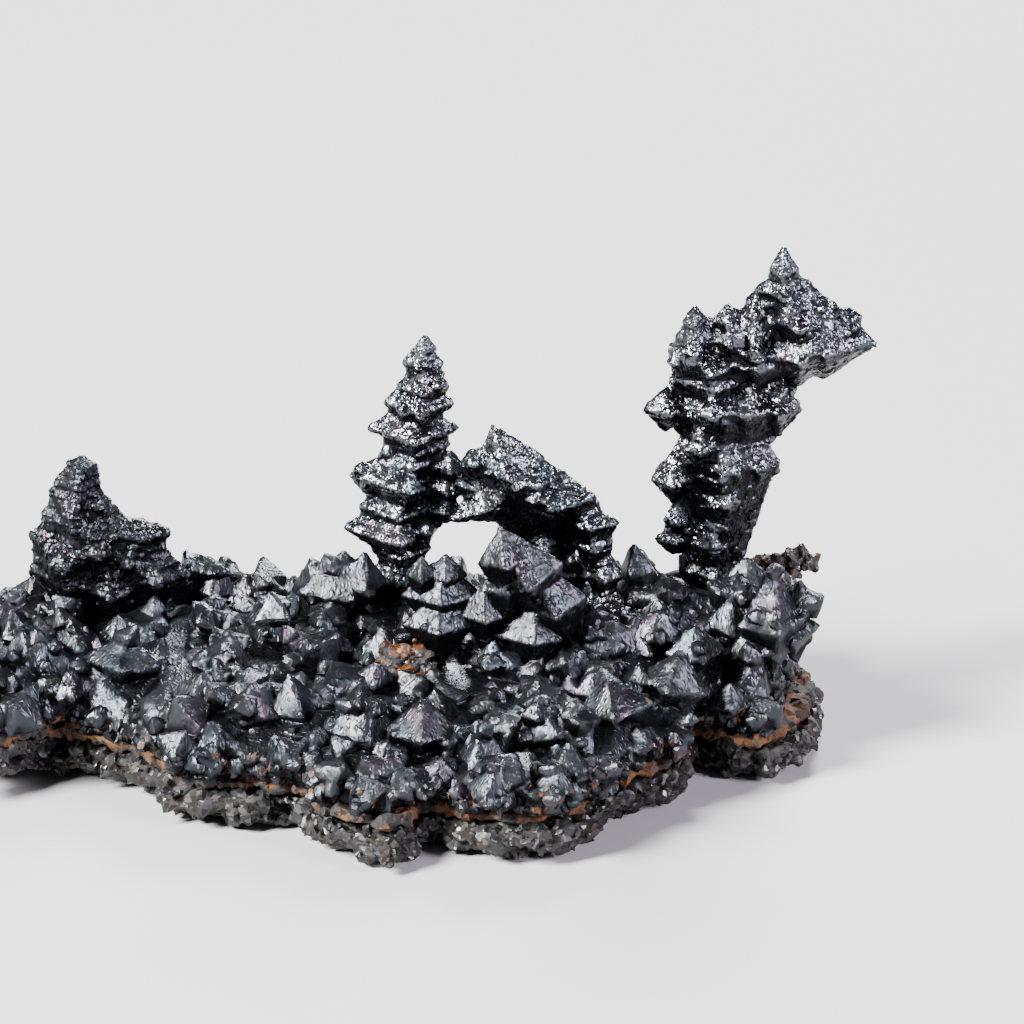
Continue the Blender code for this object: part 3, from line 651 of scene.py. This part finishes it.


# painted light: the spires' acanthite is a brighter copy, a painted highlight, and the left tower's is a
# darker, rougher one with painted shade
SPIRE_METAL = dark_metal(
    "spire_acanthite", painted_light_level=1.3, grain=0.4, tilt=0.26, etching=0.16, shine=0.26,
    rust_cover=0.0, rust_low=1.0,
)
TOWER_METAL = dark_metal(
    "dull_and_shaded_acanthite", painted_light_level=0.42, grain=0.5, tilt=0.2, etching=0.18, shine=0.38,
    rust_cover=0.0, rust_low=1.0,
)
BARE_TIP = 1.5  # no small crystals stand this near the top of a spire
GROWTH_STEP = 0.62  # from one level growth step to the next
ROOT_SWELL = 0.3  # how much a root swells to fill its socket
ROOT_LENGTH = 1.5  # over how much of the height that swelling fades away
SPIRES = {
    # the solid: how fine its mesh is, how many small crystals it has, how far its notches are filled,
    # how deep its growth steps and how rough its faces are, how high its socket is, and its finish
    "hammer_spire": (0.09, 70, 0.45, 0.03, 0.1, 10.0, SPIRE_METAL),
    "fir_spire": (0.085, 20, 0.3, 0.03, 0.1, 9.5, SPIRE_METAL),
    "arch_spire": (0.085, 30, 0.5, 0.03, 0.1, 9.5, SPIRE_METAL),
    "left_pyramid": (0.09, 8, 1.2, 0.06, 0.12, 9.5, TOWER_METAL),
    "front_block": (0.09, 4, 0, 0.0, 0.06, 9.0, CRUST_METAL),
}
for seed, (spire, row) in enumerate(SPIRES.items(), start=31):
    voxel, crystals, filled, step, rough, socket, metal = row
    piece = copy_of(spire, spire + "_metal")
    set_crystals(
        piece, crystals, 0.3, 0.7, seed=seed, most_turn=0.35,
        wanted=lambda at, way: np.clip(0.4 + way[:, 2], 0, 1) * (at[:, 2] < at[:, 2].max() - BARE_TIP),
    )
    made_fine(piece, voxel, softening=3)
    if filled:
        notches_filled(piece, filled, voxel)
    points, out = surface_of(piece)
    rooted = np.clip((socket - points[:, 2]) / ROOT_LENGTH, 0, 1)
    relief = terraced(points, GROWTH_STEP, step, seed) + broken(points, 1.0, rough, seed + 10)
    relief += broken(points, 0.45, 0.6 * rough, seed + 20) + ROOT_SWELL * rooted + SMOOTHING_LOSS
    put_points(piece, points + out * relief[:, None])
    thinned(piece, 0.5)
    mark_painted_shade(piece, rounds=25, depth=0.4, underside_shade=1.0)
    piece.data.materials.append(metal)
    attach(piece, "root")
    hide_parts(spire)


# ---- The rusty spur ---------------------------------------------------------------------------------
#
# A crumbling spur of brown iron oxide with clear grains in it, left where a sulphide has weathered
# away. It is rooted in the crust at the back, and runs out behind the right end.

spur = copy_of("rusty_spur", "rusty_spur_gossan")
made_fine(spur, voxel=0.12, softening=2)
points, out = surface_of(spur)
relief = rounded(points, 0.8, 0.3, seed=61) + broken(points, 0.4, 0.15, seed=62)
put_points(spur, points + out * relief[:, None])
mark_painted_shade(spur, rounds=14, depth=0.25)
spur.data.materials.append(
    grainy_rock(
        "brown_gossan", light=(0.03, 0.027, 0.026, 1), dark=(0.008, 0.006, 0.0055, 1),
        film=(0.065, 0.018, 0.003, 1), film_cover=0.2, film_edge=0.1,
    )
)
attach(spur, "root")
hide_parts("rusty_spur")


# ---- The gangue patch -------------------------------------------------------------------------------
#
# A knot of white, half-clear quartz grains, with orange rust packed between them. It is vein rock
# that the crystals haven't grown over, and it sits in a gap of the crust.

patch = copy_of("gangue_patch", "gangue_patch_quartz")
made_fine(patch, voxel=0.12, softening=2)
points, out = surface_of(patch)
relief = rounded(points, 0.45, 0.3, seed=71) + broken(points, 0.8, 0.3, seed=72)
put_points(patch, points + out * relief[:, None])
mark_painted_shade(patch, rounds=4, depth=0.12)
patch.data.materials.append(
    grainy_rock(
        "quartz_and_rust", light=(0.02, 0.0215, 0.023, 1), dark=(0.003, 0.0026, 0.0026, 1),
        film=(0.055, 0.016, 0.0008, 1), film_cover=0.26, film_edge=0.04,
    )
)
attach(patch, "root")
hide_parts("gangue_patch")


# ---- The table, the lights and the camera -----------------------------------------------------------
#
# A pale sheet of paper under the specimen, with a strong soft box at the left, weaker ones at the
# right and behind, and a long lens a little above the specimen's level.

table_mesh = bpy.data.meshes.new("table")
table_mesh.from_pydata([(-2, -2, 0), (2, -2, 0), (2, 2, 0), (-2, 2, 0)], [], [(0, 1, 2, 3)])
table = bpy.data.objects.new("table", table_mesh)
bpy.context.scene.collection.objects.link(table)
paper, _, paper_shader = new_material("pale_paper")
paper_shader.inputs["Base Color"].default_value = (0.34, 0.34, 0.345, 1)
paper_shader.inputs["Roughness"].default_value = 0.9
table_mesh.materials.append(paper)

LOOKED_AT = Vector((7.92, 0, 16.45)) * MM
LIGHTS = {
    # name: place in millimetres, width in millimetres, watts, colour
    "key": ((-400, -230, 360), 170, 30.0, (1.0, 0.98, 0.96)),
    "fill": ((400, -240, 220), 140, 6.0, (0.95, 0.88, 1.0)),
    "back": ((120, 380, 330), 140, 8.0, (0.96, 0.97, 1.0)),
}
for name, (place, width, watts, colour) in LIGHTS.items():
    light = bpy.data.lights.new(name, "AREA")
    light.size = width * MM
    light.energy = watts
    light.color = colour
    holder = bpy.data.objects.new(name, light)
    holder.location = Vector(place) * MM
    holder.rotation_euler = (LOOKED_AT - holder.location).to_track_quat("-Z", "Y").to_euler()
    bpy.context.scene.collection.objects.link(holder)

surround = bpy.data.worlds.new("surround")
surround.use_nodes = True
surround.node_tree.nodes["Background"].inputs["Color"].default_value = (0.12, 0.125, 0.135, 1)
bpy.context.scene.world = surround

ELEVATION = math.radians(22)
DISTANCE = 450 * MM
VIEW_WIDTH = 61.44 * MM  # what the lens takes in at that distance
lens = bpy.data.cameras.new("camera")
lens.sensor_width = 36
lens.lens = lens.sensor_width * DISTANCE / VIEW_WIDTH
lens.clip_start = 0.01
camera = bpy.data.objects.new("camera", lens)
camera.location = LOOKED_AT + DISTANCE * Vector((0, -math.cos(ELEVATION), math.sin(ELEVATION)))
camera.rotation_euler = (math.radians(90) - ELEVATION, 0, 0)
bpy.context.scene.collection.objects.link(camera)
bpy.context.scene.camera = camera
